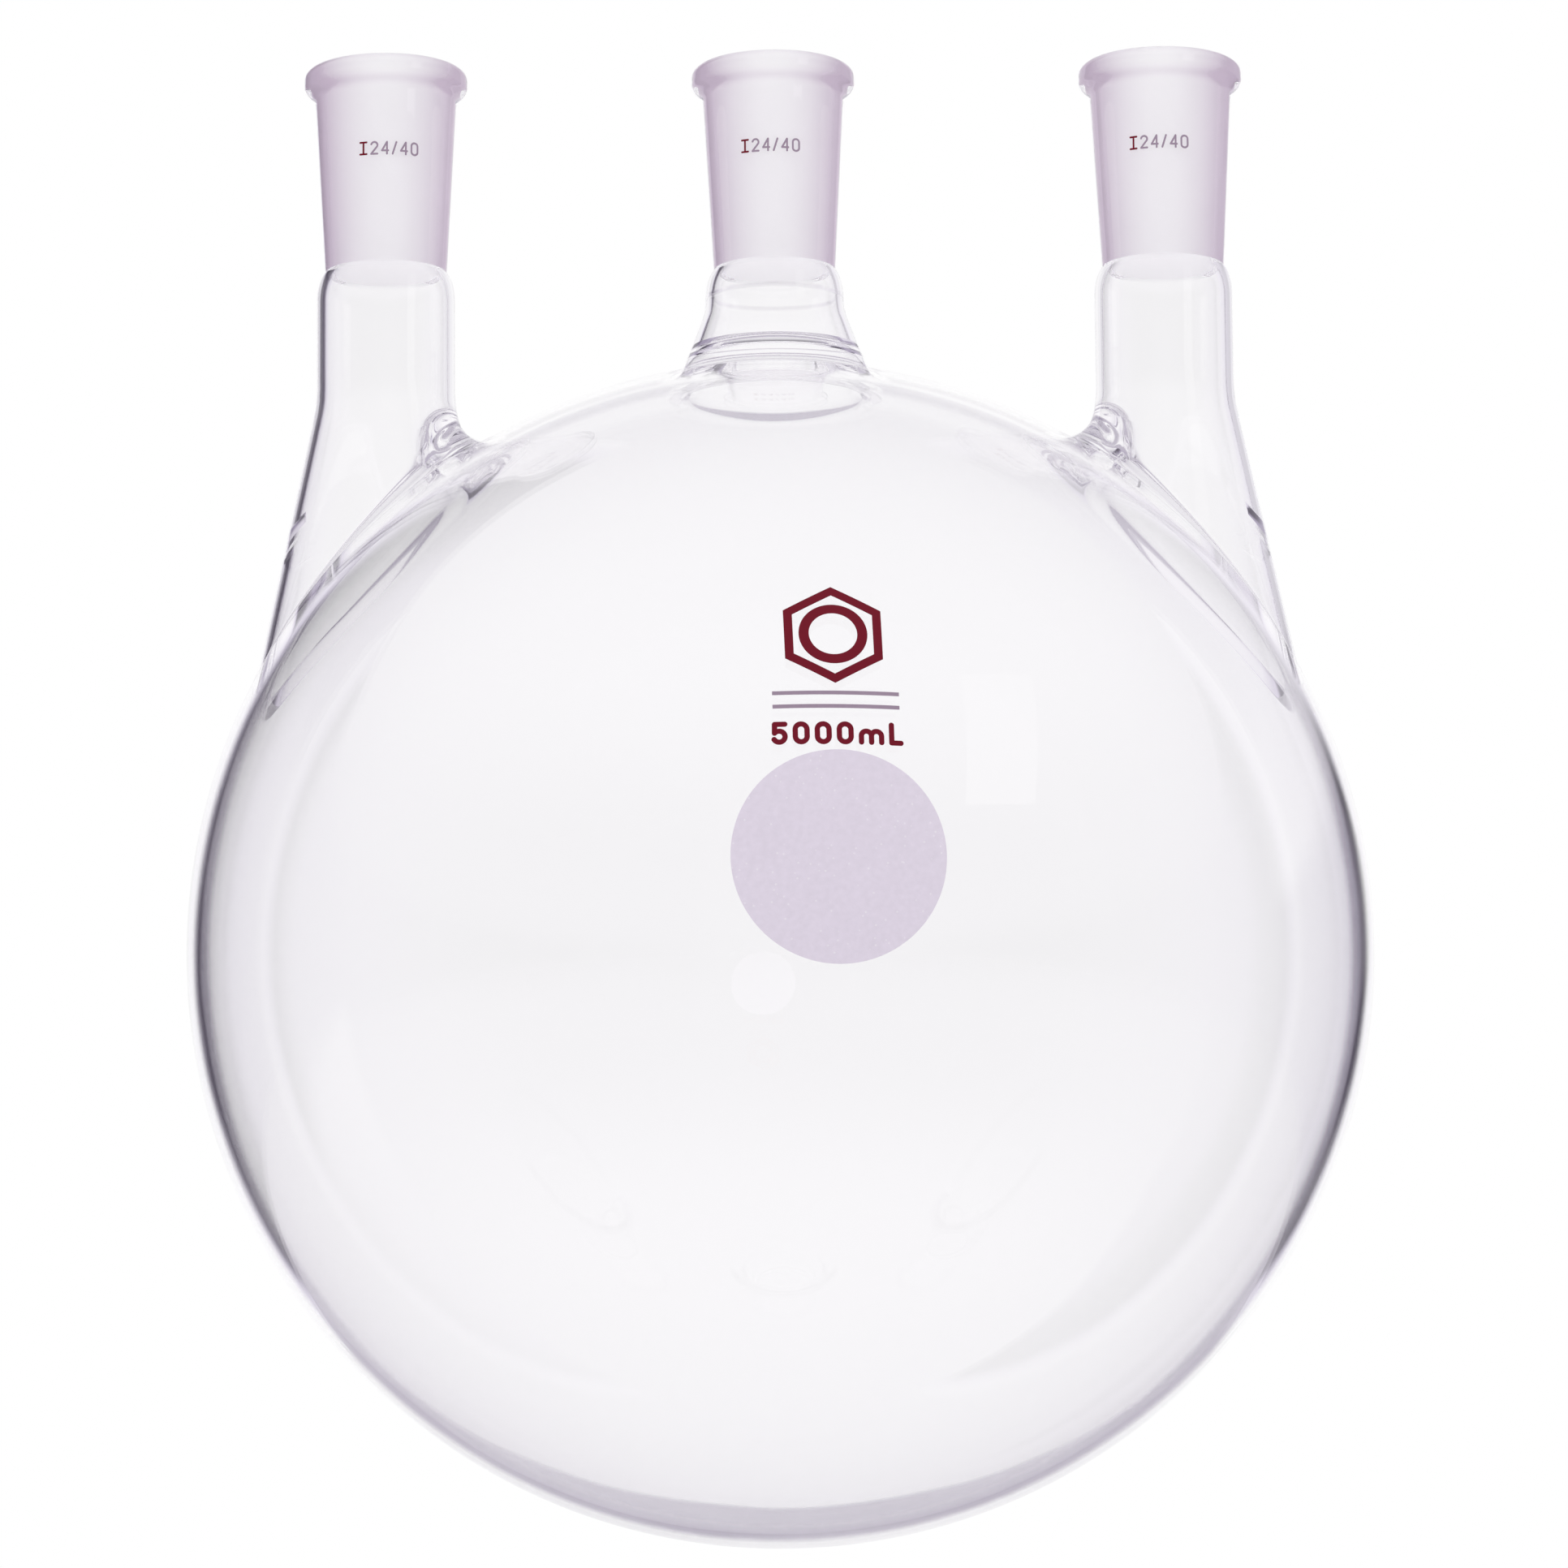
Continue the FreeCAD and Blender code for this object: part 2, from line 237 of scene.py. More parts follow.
# ---- bulb wall: sphere, blended collars ----

def height_on_sphere(sphere_r, x, y):
    return BULB_CENTRE.z + math.sqrt(sphere_r ** 2 - x * x - y * y)


BISECTIONS = 40


def meet_sphere(neck, wall, across, sphere_r):
    """The height at which one line down the neck's wall passes through a sphere round the bulb centre."""
    low, high = BULB_CENTRE.z, SOCKET_BASE
    for _ in range(BISECTIONS):
        middle = (low + high) / 2
        if (neck.point(wall, middle, across) - BULB_CENTRE).length < sphere_r:
            low = middle
        else:
            high = middle
    return (low + high) / 2


# The share of a collar's wall that stays plain above its fillet, however steep the wall is.
LEAST_WALL_OVER_FILLET = 1 / 15


def collar_column(neck, wall, across):
    """One line of points from the collar's patch edge on the bulb, over the fillet, up to the seal."""
    foot_height = meet_sphere(neck, wall, across, wall.sphere_r)
    seal_height = meet_sphere(neck, wall, across, SEAL_R)
    foot = neck.point(wall, foot_height, across)

    def on_bulb(reach):
        x, y = neck.x + reach * across.x, reach * across.y
        return Vector((x, y, height_on_sphere(wall.sphere_r, x, y)))

    def along_bulb(point):
        fall = (point.x * across.x + point.y * across.y) / (point.z - BULB_CENTRE.z)
        return (Vector(across) - Vector((0, 0, fall))).normalized()

    down = neck.downward(wall, foot_height, across)
    turn = down.angle(along_bulb(foot))
    tangent = wall.fillet * math.tan(turn / 2)
    pull = 4 / 3 * math.tan(turn / 4) / math.tan(turn / 2) * tangent
    highest = seal_height + LEAST_WALL_OVER_FILLET * (foot_height - seal_height)
    upper_height = min(foot_height - down.z * tangent, highest)
    upper = neck.point(wall, upper_height, across)
    lower = on_bulb(neck.reach(wall, foot_height, across) + along_bulb(foot).dot(across) * tangent)
    fillet_points = bezier((
        lower,
        lower - along_bulb(lower) * pull,
        upper + neck.downward(wall, upper_height, across) * pull,
        upper,
    ), FILLET_STEPS)
    edge = patch_edge_point(neck, wall.sphere_r, lower)
    patch = [slide_on_sphere(edge, lower, i / PATCH_STEPS) for i in range(PATCH_STEPS)]
    rest = [neck.point(wall, upper_height + (seal_height - upper_height) * i / COLLAR_STEPS, across)
            for i in range(1, COLLAR_STEPS + 1)]
    return patch + fillet_points + rest


def patch_edge_point(neck, sphere_r, point):
    """The point of the collar's round patch edge that lies beyond a point of the fillet."""
    outward = point - BULB_CENTRE
    sideways = (outward - neck.direction * outward.dot(neck.direction)).normalized()
    direction = neck.direction * math.cos(neck.patch_angle) + sideways * math.sin(neck.patch_angle)
    return BULB_CENTRE + direction * sphere_r


def slide_on_sphere(start, end, share):
    """A point on the shorter arc between two points of one sphere round the bulb's centre."""
    a, b = start - BULB_CENTRE, end - BULB_CENTRE
    return BULB_CENTRE + a.slerp(b, share) * a.length


def level_directions():
    return [Vector((math.cos(turn), math.sin(turn), 0))
            for turn in (2 * math.pi * i / COLUMNS for i in range(COLUMNS))]


def collar(draft, neck, wall):
    """Add one face of a collar and return its patch edge ring and its seal ring."""
    columns = [collar_column(neck, wall, across) for across in level_directions()]
    rings = [draft.ring(list(row)) for row in zip(*columns)]
    draft.stack(rings, CLEAR, wall.faces_in)
    return rings[0], rings[-1]


CAP_ANGLE = math.radians(75)
CAP_POINTS = 26000
CAP_MARGIN = math.radians(0.7)
ROUND_STEP = math.radians(1.25)
GOLDEN_TURN = math.pi * (3 - math.sqrt(5))
MERGE_DISTANCE = 1e-7


def flatten(direction):
    """Stereographic map of a unit direction, which keeps circles round."""
    return Vector((direction.x, direction.y)) / (1 + direction.z)


def cap_directions(necks):
    """Evenly scattered directions over the top of the bulb, clear of the collars' patches."""
    directions = []
    for i in range(CAP_POINTS):
        z = 1 - (2 * i + 1) / CAP_POINTS
        if z < math.cos(CAP_ANGLE - CAP_MARGIN):
            break
        level = math.sqrt(1 - z * z)
        direction = Vector((level * math.cos(GOLDEN_TURN * i), level * math.sin(GOLDEN_TURN * i), z))
        if all(direction.angle(neck.direction) > neck.patch_angle + CAP_MARGIN for neck in necks):
            directions.append(direction)
    return directions


def sphere_wall(draft, necks, edges, wall):
    """Close a sphere round the collars' patches: a triangulated cap above, round rows below."""
    sphere_r, flip = wall.sphere_r, wall.faces_in

    def ring_at(angle):
        level, z = math.sin(angle), math.cos(angle)
        turns = (2 * math.pi * i / RING_COLUMNS for i in range(RING_COLUMNS))
        return [BULB_CENTRE + Vector((level * math.cos(t), level * math.sin(t), z)) * sphere_r for t in turns]

    rim = draft.ring(ring_at(CAP_ANGLE))
    inner = draft.ring([BULB_CENTRE + direction * sphere_r for direction in cap_directions(necks)])
    loops = edges + [rim]
    members = [index for loop in loops for index in loop] + inner
    places = [flatten((draft.points[index] - BULB_CENTRE) / sphere_r) for index in members]
    order = {index: i for i, index in enumerate(members)}
    lines = [(order[loop[i - 1]], order[loop[i]]) for loop in loops for i in range(len(loop))]
    triangulated = mathutils.geometry.delaunay_2d_cdt(places, lines, [], 0, MERGE_DISTANCE, True)
    triangles, sources = triangulated[2:4]
    origin = [members[ids[0]] for ids in sources]
    holes = [set(edge) for edge in edges]
    for triangle in triangles:
        corners = [origin[i] for i in triangle]
        if not any(hole.issuperset(corners) for hole in holes):
            draft.face(corners, CLEAR, flip)

    rows = round((math.pi - CAP_ANGLE) / ROUND_STEP)
    rings = [rim]
    for row in range(1, rows):
        rings.append(draft.ring(ring_at(CAP_ANGLE + (math.pi - CAP_ANGLE) * row / rows)))
    draft.stack(rings, CLEAR, not flip)
    pole = draft.ring([BULB_CENTRE - Vector((0, 0, sphere_r))])[0]
    last = rings[-1]
    for i, index in enumerate(last):
        draft.face((pole, index, last[i - 1]), CLEAR, flip)
    for index in rim + inner:
        draft.round_points[index] = -1 if flip else 1


def bulb_draft(necks):
    draft = Draft()
    seals = []
    for wall in (OUTSIDE, INSIDE):
        collars = [collar(draft, neck, wall) for neck in necks]
        sphere_wall(draft, necks, [edge for edge, _ in collars], wall)
        seals.append([seal for _, seal in collars])
    for outer_seal, inner_seal in zip(*seals):
        draft.band(outer_seal, inner_seal, SEAM)
    return draft


# ---- neck tubes ----

def tube_column(neck, wall, across):
    """One line of points up a neck tube, from its seal over the flare to the shoulder under the socket."""
    seal_height = meet_sphere(neck, wall, across, SEAL_R)
    shoulder = SOCKET_BASE - SHOULDER_LENGTH
    bend = neck.flare_height + FLARE_EASE
    heights = [seal_height + (bend - seal_height) * i / FLARE_STEPS for i in range(FLARE_STEPS)]
    heights += [bend + (shoulder - bend) * i / STRAIGHT_STEPS for i in range(STRAIGHT_STEPS)]
    straight = [neck.point(wall, height, across) for height in heights]
    round_top = shoulder + SHOULDER_ROUNDNESS * SHOULDER_LENGTH
    profile = bezier((
        (wall.tube_r, 0, shoulder),
        (wall.tube_r, 0, round_top),
        (wall.top_r, 0, SOCKET_BASE),
    ), SHOULDER_STEPS)
    return straight + [Vector((neck.x + p.x * across.x, p.x * across.y, p.z)) for p in profile]


def tube_draft(neck):
    draft = Draft()
    faces = []
    for wall in (OUTSIDE, INSIDE):
        columns = [tube_column(neck, wall, across) for across in level_directions()]
        rings = [draft.ring(list(row)) for row in zip(*columns)]
        draft.stack(rings, CLEAR, wall.faces_in)
        faces.append(rings)
    outer, inner = faces
    draft.band(outer[0], inner[0], SEAM, True)
    draft.band(outer[-1], inner[-1], SEAM)
    return draft


# ---- ground sockets ----

def socket_profile():
    """Points from the base, up the outside and over the rim to the bore, and points down the ground bore.
    Each is a radius and a height."""
    bore_top = (GROUND_TOP_R - GROUND_TAPER * MOUTH_BEVEL, 0, TOP - MOUTH_BEVEL)
    bore_bottom = (GROUND_BOTTOM_R, 0, SOCKET_BASE)
    mouth = (GROUND_TOP_R + MOUTH_BEVEL, 0, TOP)
    top_face = (RIM_TOP_FACE_R, 0, TOP)
    land_top = (RIM_R, 0, RIM_LAND_TOP)
    land_bottom = (RIM_R, 0, RIM_LAND_BOTTOM)
    body_top = (SOCKET_TOP_R, 0, BODY_TOP)
    body_bottom = (SOCKET_BOTTOM_R, 0, SOCKET_BASE)

    body = spread(body_bottom, body_top, BODY_STEPS)
    root = bezier((
        body_top,
        (SOCKET_TOP_R, 0, BODY_TOP + RIM_ROOT_RISE),
        (RIM_R, 0, RIM_LAND_BOTTOM - RIM_HEEL_DEPTH),
        land_bottom,
    ), RIM_ROOT_STEPS)
    land = spread(land_bottom, land_top, RIM_LAND_STEPS)
    over = bezier((
        land_top,
        (RIM_R, 0, RIM_LAND_TOP + RIM_SHOULDER_RISE),
        (RIM_R - RIM_SHOULDER_REACH, 0, TOP),
        top_face,
    ), RIM_OVER_STEPS)
    face = spread(top_face, mouth, RIM_FACE_STEPS)
    bevel = spread(mouth, bore_top, RIM_FACE_STEPS)
    outside = body + root[1:] + land[1:] + over[1:] + face[1:] + bevel[1:]
    return outside, spread(bore_top, bore_bottom, BORE_STEPS)


def socket_draft(neck):
    draft = Draft()
    directions = level_directions()

    def turned(point):
        return [Vector((neck.x + point.x * across.x, point.x * across.y, point.z)) for across in directions]

    outside, bore = socket_profile()
    clear_rings = [draft.ring(turned(point)) for point in outside]
    ground_rings = [clear_rings[-1]] + [draft.ring(turned(point)) for point in bore[1:]]
    draft.stack(clear_rings, CLEAR)
    draft.stack(ground_rings, GROUND)
    draft.band(clear_rings[0], ground_rings[-1], SEAM, True)
    return draft


# ---- pieces ----

SHARP_ANGLE = math.radians(38)


def make_piece(name, draft, materials, node):
    """Turn a draft into a smooth-shaded Blender piece that rides on the flask and stands for a CAD node."""
    mesh = bpy.data.meshes.new(name)
    mesh.from_pydata([point * MM for point in draft.points], [], draft.faces)
    for material in materials:
        mesh.materials.append(material)
    mesh.polygons.foreach_set("material_index", draft.finishes)
    mesh.shade_smooth()
    mesh.set_sharp_from_angle(angle=SHARP_ANGLE)
    if draft.round_points:
        normals = []
        centre = BULB_CENTRE * MM
        for loop in mesh.loops:
            side = draft.round_points.get(loop.vertex_index, 0)
            outward = (mesh.vertices[loop.vertex_index].co - centre).normalized()
            normals.append(outward * side)
        mesh.normals_split_custom_set(normals)
    piece = bpy.data.objects.new(name, mesh)
    bpy.context.scene.collection.objects.link(piece)
    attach(piece, "root")
    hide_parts(node)


# ---- materials ----

def new_tree(name):
    """A new material with an empty node tree."""
    material = bpy.data.materials.new(name)
    material.use_nodes = True
    material.node_tree.nodes.clear()
    return material, material.node_tree


def add(tree, kind, settings=None, **inputs):
    """Add a shader node. Inputs are given by name, or by number as i0, i1 and so on, and are values or
    sockets to link from."""
    node = tree.nodes.new("ShaderNode" + kind)
    for key, value in (settings or {}).items():
        setattr(node, key, value)
    for key, value in inputs.items():
        numbered = key[0] == "i" and key[1:].isdigit()
        target = node.inputs[int(key[1:]) if numbered else key.replace("_", " ")]
        if isinstance(value, bpy.types.NodeSocket):
            tree.links.new(value, target)
        else:
            target.default_value = value
    return node


def output(tree, surface, kind="OutputMaterial"):
    tree.links.new(surface, tree.nodes.new("ShaderNode" + kind).inputs["Surface"])


def calculate(tree, operation, *values):
    inputs = {f"i{number}": value for number, value in enumerate(values)}
    return add(tree, "Math", {"operation": operation}, **inputs).outputs[0]


def rise(tree, value, start, end, low=0.0, high=1.0, kind="LINEAR"):
    """A value that runs from low to high while another runs from start to end."""
    return add(tree, "MapRange", {"interpolation_type": kind}, Value=value,
               From_Min=start, From_Max=end, To_Min=low, To_Max=high).outputs[0]


def mix_colors(tree, share, first, second):
    return add(tree, "Mix", {"data_type": "RGBA"}, i0=share, i6=first, i7=second).outputs[2]


def mix_shaders(tree, share, first, second):
    return add(tree, "MixShader", i0=share, i1=first, i2=second).outputs[0]


def glow_output(tree, color, strength=1.0):
    output(tree, add(tree, "Emission", Color=color, Strength=strength).outputs[0])


def direct_or_diffuse(tree):
    """One for rays straight from the camera and for rays that a matt surface has scattered."""
    path = add(tree, "LightPath")
    return calculate(tree, "MAXIMUM", path.outputs["Is Camera Ray"], path.outputs["Diffuse Depth"])


GLASS_IOR = 1.473
GUIDED_BOUNCES = 8


def let_guided_light_out(tree, surface):
    """Light that stays trapped inside the wall leaks out after a while, as small flaws let it do."""
    depth = add(tree, "LightPath").outputs["Ray Depth"]
    trapped = calculate(tree, "GREATER_THAN", depth, GUIDED_BOUNCES)
    leak = add(tree, "BsdfTransparent").outputs[0]
    return mix_shaders(tree, trapped, surface, leak)


CLEAR_TINT = (0.999, 0.997, 1, 1)
EDGE_START = 0.80
EDGE_END = 0.86
EDGE_CLEARNESS = 0.7


def clear_material():
    """Clear, slightly wavy glass, made partly transparent where it is seen at a grazing angle."""
    material, tree = new_tree("clear_glass")
    place = add(tree, "TexCoord").outputs["Object"]
    waves = add(tree, "TexNoise", Vector=place, Scale=22.0, Detail=1.5, Roughness=0.4).outputs["Fac"]
    bump = add(tree, "Bump", Height=waves, Strength=0.25, Distance=0.0006).outputs["Normal"]
    glass = add(tree, "BsdfGlass", Color=CLEAR_TINT, Roughness=0.0, IOR=GLASS_IOR, Normal=bump).outputs[0]
    grazing = add(tree, "LayerWeight", Blend=0.5).outputs["Facing"]
    share = rise(tree, grazing, EDGE_START, EDGE_END, high=EDGE_CLEARNESS)
    clear = add(tree, "BsdfTransparent").outputs[0]
    output(tree, let_guided_light_out(tree, mix_shaders(tree, share, glass, clear)))
    return material


GROUND_TINT = (0.998, 0.992, 1, 1)
# The lilac colour below is painted shade that the ground glass takes where it curves away from the eye, full
# at the given facing, and painted only on the first two surfaces that a ray meets.
GROUND_PAINTED_EDGE_SHADE = (0.64, 0.54, 0.65, 1)
GROUND_PAINTED_SHADE_FULL = 0.32
GROUND_BACK_SHARE = 0.7
GROUND_GLASS_SHARE = 0.2
GROUND_PAINTED_SHADE_DEPTH = 1.5


def ground_material():
    """Ground glass lets light through and throws it back as a fine white matt, with a painted lilac shade
    where it curves away from the eye. The painted shade goes only on the first two surfaces that a ray meets."""
    material, tree = new_tree("ground_glass")
    facing = add(tree, "LayerWeight", Blend=0.5).outputs["Facing"]
    painted_edge_shade = rise(tree, facing, 0.0, GROUND_PAINTED_SHADE_FULL)
    depth = add(tree, "LightPath").outputs["Ray Depth"]
    early = calculate(tree, "LESS_THAN", depth, GROUND_PAINTED_SHADE_DEPTH)
    # Painted shade: the near-white tint turns lilac towards the ground glass's edges, on the first two
    # surfaces only.
    tint = mix_colors(tree, calculate(tree, "MULTIPLY", painted_edge_shade, early), GROUND_TINT, GROUND_PAINTED_EDGE_SHADE)
    place = add(tree, "TexCoord").outputs["Object"]
    grain = add(tree, "TexNoise", Vector=place, Scale=2500.0, Detail=3.0).outputs["Fac"]
    bump = add(tree, "Bump", Height=grain, Strength=0.4, Distance=0.00004).outputs["Normal"]
    through = add(tree, "BsdfTranslucent", Color=tint, Normal=bump).outputs[0]
    back = add(tree, "BsdfDiffuse", Color=tint, Normal=bump).outputs[0]
    matt = mix_shaders(tree, GROUND_BACK_SHARE, through, back)
    glass = add(tree, "BsdfGlass", {"distribution": "MULTI_GGX"}, Color=tint,
                Roughness=0.4, IOR=GLASS_IOR, Normal=bump).outputs[0]
    output(tree, let_guided_light_out(tree, mix_shaders(tree, GROUND_GLASS_SHARE, matt, glass)))
    return material


def seam_material():
    """The face where two fused pieces meet, which can't be seen in real glass."""
    material, tree = new_tree("fused_seam")
    output(tree, add(tree, "BsdfTransparent").outputs[0])
    return material


RED = (0.17, 0.003, 0.016)
GREY = (0.33, 0.25, 0.33)
PALE_LILAC = (0.74, 0.675, 0.78)
SPOT_SPECKS = 0.25
SPECK_START = 0.16
SPECK_FULL = 0.1


def enamel_material(name, color, speck_share=0.0):
    """Fired enamel with a fine uneven grain, and with pale specks if a share is given."""
    material, tree = new_tree(name)
    place = add(tree, "TexCoord").outputs["Object"]
    grain = add(tree, "TexNoise", Vector=place, Scale=900.0, Detail=4.0).outputs["Fac"]
    tint = rise(tree, grain, 0.0, 1.0, 0.92, 1.06)
    paint = add(tree, "VectorMath", {"operation": "SCALE"}, i0=color, Scale=tint).outputs[0]
    if speck_share:
        cells = add(tree, "TexVoronoi", Vector=place, Scale=700.0).outputs["Distance"]
        speck = rise(tree, cells, SPECK_FULL, SPECK_START, speck_share, 0.0)
        paint = mix_colors(tree, speck, paint, (1, 1, 1, 1))
    bump = add(tree, "Bump", Height=grain, Strength=0.3, Distance=0.00005).outputs["Normal"]
    shader = add(tree, "BsdfPrincipled", Base_Color=paint, Roughness=0.55,
                 Specular_IOR_Level=0.15, Normal=bump)
    output(tree, shader.outputs[0])
    return material


def paint_node(node, *materials):
    """Give a CAD node its materials and smooth shading."""
    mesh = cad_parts[node].data
    mesh.materials.clear()
    for material in materials:
        mesh.materials.append(material)
    mesh.shade_smooth()
    return mesh


SIZE_BAR_WIDTH = 1.5


def paint_size_mark(node, digits, bar):
    """The digits in one colour, and the bar before them in another."""
    mesh = paint_node(node, digits, bar)
    bar_end = min(vertex.co.x for vertex in mesh.vertices) + SIZE_BAR_WIDTH * MM
    for polygon in mesh.polygons:
        polygon.material_index = 1 if polygon.center.x < bar_end else 0


# ---- stage: floor, light and camera, with lengths in metres ----

def add_stage_plane(name, corners, material):
    """A one-faced object of the stage, which isn't part of the flask."""
    mesh = bpy.data.meshes.new(name)
    mesh.from_pydata(corners, [], [(0, 1, 2, 3)])
    mesh.materials.append(material)
    plane = bpy.data.objects.new(name, mesh)
    bpy.context.scene.collection.objects.link(plane)
    return plane


FLOOR_HALF_SIZE = 4.0
FLOOR_GAP = 0.0002
FLOOR_FADE_START = 0.3
FLOOR_FADE_END = 1.1
FLOOR_TONE = (0.93, 0.925, 0.935, 1)
# A darker copy of the floor's tone: painted shade that the glass mirrors, and shows where the camera looks
# up.
FLOOR_PAINTED_SHADE_IN_GLASS = (0.54, 0.51, 0.58, 1)
LOOKS_UP_START = 0.02
LOOKS_UP_END = 0.12


def camera_looks_up(tree):
    """Rises from zero to one as the camera tilts upward."""
    change = {"vector_type": "VECTOR", "convert_from": "WORLD", "convert_to": "CAMERA"}
    up = add(tree, "VectorTransform", change, Vector=(0, 0, 1)).outputs[0]
    forward_part = add(tree, "SeparateXYZ", Vector=up).outputs[2]
    return rise(tree, forward_part, LOOKS_UP_START, LOOKS_UP_END)


def floor_material():
    """Pale paint that fades into the backdrop and can't be seen from below. The glass mirrors it with a
    darker painted shade, and shows it with that painted shade too where the camera looks up."""
    material, tree = new_tree("floor")
    place = add(tree, "TexCoord").outputs["Object"]
    distance = add(tree, "VectorMath", {"operation": "LENGTH"}, i0=place).outputs["Value"]
    fade = rise(tree, distance, FLOOR_FADE_START, FLOOR_FADE_END, kind="SMOOTHSTEP")
    behind = add(tree, "NewGeometry").outputs["Backfacing"]
    hidden = calculate(tree, "MAXIMUM", fade, behind)
    direct = direct_or_diffuse(tree)
    mirrored = add(tree, "LightPath").outputs["Glossy Depth"]
    shaded = calculate(tree, "MAXIMUM", camera_looks_up(tree), mirrored)
    # Painted shade on the floor, as the glass shows it.
    painted_shade_in_glass = mix_colors(tree, shaded, FLOOR_TONE, FLOOR_PAINTED_SHADE_IN_GLASS)
    tone = mix_colors(tree, direct, painted_shade_in_glass, FLOOR_TONE)
    paint = add(tree, "BsdfDiffuse", Color=tone).outputs[0]
    clear = add(tree, "BsdfTransparent").outputs[0]
    output(tree, mix_shaders(tree, hidden, paint, clear))
    return material


def add_floor():
    size = FLOOR_HALF_SIZE
    corners = [(-size, -size, 0), (size, -size, 0), (size, size, 0), (-size, size, 0)]
    floor = add_stage_plane("floor", corners, floor_material())
    floor.location.z = -FLOOR_GAP


def ramp(tree, factor, stops):
    """A colour ramp with stops given as (place, colour)."""
    node = add(tree, "ValToRGB", Fac=factor)
    elements = node.color_ramp.elements
    while len(elements) < len(stops):
        elements.new(0.5)
    for element, (place, color) in zip(elements, stops):
        element.position = place
        element.color = (*color, 1)
    return node.outputs["Color"]


WHITE = (1.0, 1.0, 1.0)
SIDE_LIGHT = (0.40, 0.36, 0.47)
ROOM_LIGHT = (0.16, 0.15, 0.18)
CEILING_LIGHT = (0.78, 0.77, 0.80)
CEILING_START = 0.3
CEILING_END = 0.9
ROOM_START = 0.2
ROOM_END = -0.7


def add_world():
    """Soft light that turns with the camera. Glass sees white behind it, lilac grey beside it, a bright
    ceiling and a dark room before it. Painted and ground surfaces see an even white."""
    scene = bpy.context.scene
    scene.world = bpy.data.worlds.new("studio")
    scene.world.use_nodes = True
    scene.world.cycles.sampling_method = "NONE"
    tree = scene.world.node_tree
    tree.nodes.clear()
    place = add(tree, "TexCoord").outputs["Camera"]
    unit = add(tree, "VectorMath", {"operation": "NORMALIZE"}, i0=place).outputs[0]
    right, upward, forward = add(tree, "SeparateXYZ", Vector=unit).outputs
    beside = calculate(tree, "MULTIPLY", right, right)
    above = rise(tree, upward, CEILING_START, CEILING_END, kind="SMOOTHSTEP")
    before = rise(tree, forward, ROOM_START, ROOM_END, kind="SMOOTHSTEP")
    color = mix_colors(tree, beside, (*WHITE, 1), (*SIDE_LIGHT, 1))
    color = mix_colors(tree, before, color, (*ROOM_LIGHT, 1))
    color = mix_colors(tree, above, color, (*CEILING_LIGHT, 1))
    seen_by_glass = add(tree, "Background", Color=color, Strength=1.0).outputs[0]
    even = add(tree, "Background", Color=(*WHITE, 1), Strength=1.0).outputs[0]
    output(tree, mix_shaders(tree, direct_or_diffuse(tree), seen_by_glass, even), "OutputWorld")


CARD_BEHIND = 0.30
CARD_INNER_EDGE = 0.17
CARD_OUTER_EDGE = 1.0
CARD_HALF_HEIGHT = 0.6

# The glow of each card at distances from the middle, in metres.
CARD_TONES = {
    "left": (
        (0.17, WHITE),
        (0.215, (0.74, 0.70, 0.81)),
        (0.236, (0.15, 0.135, 0.175)),
        (0.26, (0.08, 0.07, 0.095)),
        (0.36, (0.12, 0.105, 0.14)),
        (0.5, SIDE_LIGHT),
    ),
    "right": (
        (0.17, WHITE),
        (0.215, (0.74, 0.70, 0.81)),
        (0.232, (0.05, 0.045, 0.06)),
        (0.25, (0.04, 0.035, 0.05)),
        (0.27, (0.12, 0.105, 0.14)),
        (0.36, SIDE_LIGHT),
    ),
}

# The paler top of a card: its tone, how much of it each card takes, and the heights it starts and ends at.
CARD_UPPER_TONE = (0.92, 0.90, 0.95)
CARD_UPPER_SHARE = {"left": 0.0, "right": 0.65}
CARD_UPPER_START = 0.06
CARD_UPPER_END = 0.13


def card_material(name, tones, upper_share):
    """A glow that runs from the white backdrop through dark to the side light, out from the middle, and
    that may turn pale towards the top."""
    material, tree = new_tree(name)
    place = add(tree, "SeparateXYZ", Vector=add(tree, "TexCoord").outputs["Object"])
    distance = calculate(tree, "ABSOLUTE", place.outputs[0])
    share = rise(tree, place.outputs[1], CARD_UPPER_START, CARD_UPPER_END,
                 high=upper_share, kind="SMOOTHSTEP")
    glow_output(tree, mix_colors(tree, share, ramp(tree, distance, tones), (*CARD_UPPER_TONE, 1)))
    material.cycles.emission_sampling = "NONE"
    return material


def add_rig_plane(rig, name, corners, material):
    """A glowing plane of the rig, which shows only through glass or mirrored in it."""
    plane = add_stage_plane(name, corners, material)
    plane.parent = rig
    plane.visible_camera = False
    plane.visible_diffuse = False
    plane.visible_shadow = False
    return plane


def add_light_rig():
    """Two dark cards behind the flask, one to each side, that draw its edges, and a softbox in front of
    it. They turn with the camera."""
    rig = bpy.data.objects.new("light_rig", None)
    rig.location = BULB_CENTRE * MM
    bpy.context.scene.collection.objects.link(rig)
    track = rig.constraints.new("TRACK_TO")
    track.target = bpy.context.scene.camera
    track.track_axis = "TRACK_Z"
    track.up_axis = "UP_Y"
    high = CARD_HALF_HEIGHT
    for side, name in ((-1, "left"), (1, "right")):
        near, far = side * CARD_INNER_EDGE, side * CARD_OUTER_EDGE
        corners = [(near, -high, 0), (far, -high, 0), (far, high, 0), (near, high, 0)]
        material = card_material("card_" + name, CARD_TONES[name], CARD_UPPER_SHARE[name])
        card = add_rig_plane(rig, "card_" + name, corners, material)
        card.location.z = -CARD_BEHIND
    add_softbox(rig)


SOFTBOX_IMAGE = Vector((0.34, 0.33))
SOFTBOX_IMAGE_SIZE = (0.11, 0.205)
SOFTBOX_DISTANCE = 1.0
SOFTBOX_LIGHT = 1.0


